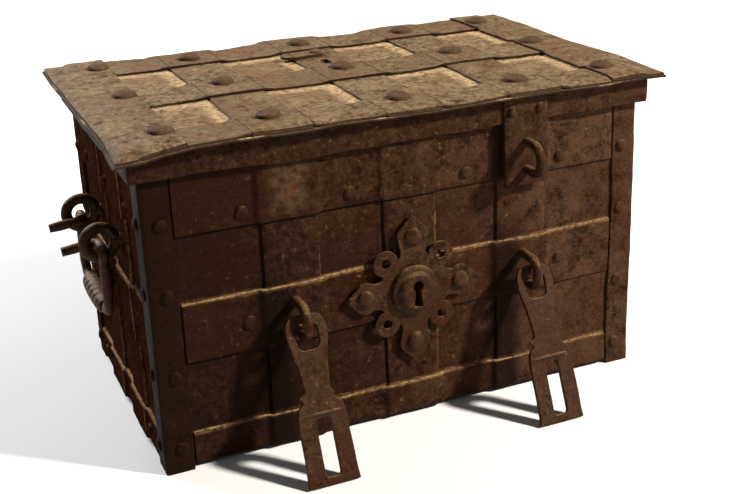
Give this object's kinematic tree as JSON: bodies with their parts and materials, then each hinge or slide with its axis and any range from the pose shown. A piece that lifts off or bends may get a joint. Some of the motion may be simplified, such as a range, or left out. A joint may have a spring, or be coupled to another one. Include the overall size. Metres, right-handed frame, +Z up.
{
  "type": "donation box",
  "caption": "Iron-bound strongbox used as a donation box, with riveted straps, hinged lid with a lock, front hasps, false lock plate and carrying handles.",
  "frame": {"origin": "centre of the bottom plate's underside; the feet of the corner irons reach 6 mm below it", "axes": "+X along the width towards the front's right-hand end, -Y out of the front with the false lock plate, +Z up"},
  "size_m": [0.7288, 0.4893, 0.3879],
  "materials": {
    "plate_iron": "rusted wrought plate, matt",
    "band_iron": "rusted wrought strap, matt, dusty upper edges",
    "lid_iron": "rusted wrought strap under dust, matt",
    "fitting_iron": "rusted forged iron, worn brighter on the high spots",
    "lock_iron": "dark forged iron, a little greasy"
  },
  "bodies": {
    "chest": {"back_band_lower": "band_iron", "back_band_upper": "band_iron", "back_plate": "plate_iron", "bottom_plate": "plate_iron", "corner_iron_back_left": "band_iron", "corner_iron_back_right": "band_iron", "corner_iron_front_left": "band_iron", "corner_iron_front_right": "band_iron", "escutcheon_plate": "fitting_iron", "front_band_lower": "band_iron", "front_band_middle": "band_iron", "front_band_upper": "band_iron", "front_plate": "plate_iron", "front_upright_centre": "band_iron", "front_upright_left": "band_iron", "front_upright_right": "band_iron", "handle_eye_left_front": "fitting_iron", "handle_eye_left_rear": "fitting_iron", "handle_eye_right_front": "fitting_iron", "handle_eye_right_rear": "fitting_iron", "hasp_staple_left": "fitting_iron", "hasp_staple_right": "fitting_iron", "hinge_body_leaf_left": "band_iron", "hinge_body_leaf_right": "band_iron", "left_band_lower": "band_iron", "left_band_middle": "band_iron", "left_band_upper": "band_iron", "left_plate": "plate_iron", "left_upright_front": "band_iron", "left_upright_rear": "band_iron", "right_band_lower": "band_iron", "right_band_middle": "band_iron", "right_band_upper": "band_iron", "right_plate": "plate_iron", "right_upright_front": "band_iron", "right_upright_rear": "band_iron", "rim_frame": "plate_iron"},
    "lid": {"hinge_lid_leaf_left": "band_iron", "hinge_lid_leaf_right": "band_iron", "lid_band_back": "lid_iron", "lid_band_front": "lid_iron", "lid_band_middle": "lid_iron", "lid_end_strap_left": "lid_iron", "lid_end_strap_right": "lid_iron", "lid_sheet": "lid_iron", "lid_skirt": "band_iron", "lid_strap_centre": "lid_iron", "lid_strap_left": "lid_iron", "lid_strap_right": "lid_iron", "lid_tab": "band_iron", "lock_plate": "lock_iron"},
    "bolt_front": {"bolt_front": "lock_iron"},
    "bolt_left": {"bolt_left": "lock_iron"},
    "bolt_right": {"bolt_right": "lock_iron"},
    "handle_left": {"handle_left": "fitting_iron"},
    "handle_right": {"handle_right": "fitting_iron"},
    "hasp_left": {"hasp_left": "fitting_iron"},
    "hasp_right": {"hasp_right": "fitting_iron"},
    "keyhole_cover": {"keyhole_cover": "lid_iron"},
    "lock_driver": {"lock_driver": "lock_iron"}
  },
  "joints": [
    {"name": "lid_hinge", "type": "hinge", "parent": "chest", "child": "lid", "pos_m": [0, 0.1928, 0.3255], "axis": [-1, 0, 0], "range_deg": [0, 100]},
    {"name": "hasp_left_swing", "type": "hinge", "parent": "chest", "child": "hasp_left", "pos_m": [-0.14197, -0.2031, 0.16], "axis": [-1, 0, 0], "range_deg": [0, 156]},
    {"name": "hasp_right_swing", "type": "hinge", "parent": "chest", "child": "hasp_right", "pos_m": [0.14197, -0.2031, 0.16], "axis": [-1, 0, 0], "range_deg": [0, 156]},
    {"name": "handle_left_swing", "type": "hinge", "parent": "chest", "child": "handle_left", "pos_m": [-0.3239, -0.008, 0.2295], "axis": [0, 1, 0], "range_deg": [-4, 112]},
    {"name": "handle_right_swing", "type": "hinge", "parent": "chest", "child": "handle_right", "pos_m": [0.3239, -0.008, 0.2295], "axis": [0, -1, 0], "range_deg": [-4, 112]},
    {"name": "keyhole_cover_turn", "type": "hinge", "parent": "lid", "child": "keyhole_cover", "pos_m": [0, 0.098, 0.3734], "axis": [0, 0, 1], "range_deg": [-20, 90]},
    {"name": "lock_turn", "type": "hinge", "parent": "lid", "child": "lock_driver", "pos_m": [0, 0.062, 0.353], "axis": [0, 0, 1], "range_deg": [0, 32]},
    {"name": "bolt_left_slide", "type": "slide", "parent": "lid", "child": "bolt_left", "axis": [-1, 0, 0], "range_m": [0, 0.01876]},
    {"name": "bolt_right_slide", "type": "slide", "parent": "lid", "child": "bolt_right", "axis": [1, 0, 0], "range_m": [0, 0.01876]},
    {"name": "bolt_front_slide", "type": "slide", "parent": "lid", "child": "bolt_front", "axis": [0, -1, 0], "range_m": [0, 0.01876]}
  ],
  "couplings": [
    {"joint": "bolt_left_slide", "follows": "lock_turn", "m_per_rad": 0.03356},
    {"joint": "bolt_right_slide", "follows": "lock_turn", "m_per_rad": 0.03356},
    {"joint": "bolt_front_slide", "follows": "lock_turn", "m_per_rad": 0.03356}
  ]
}
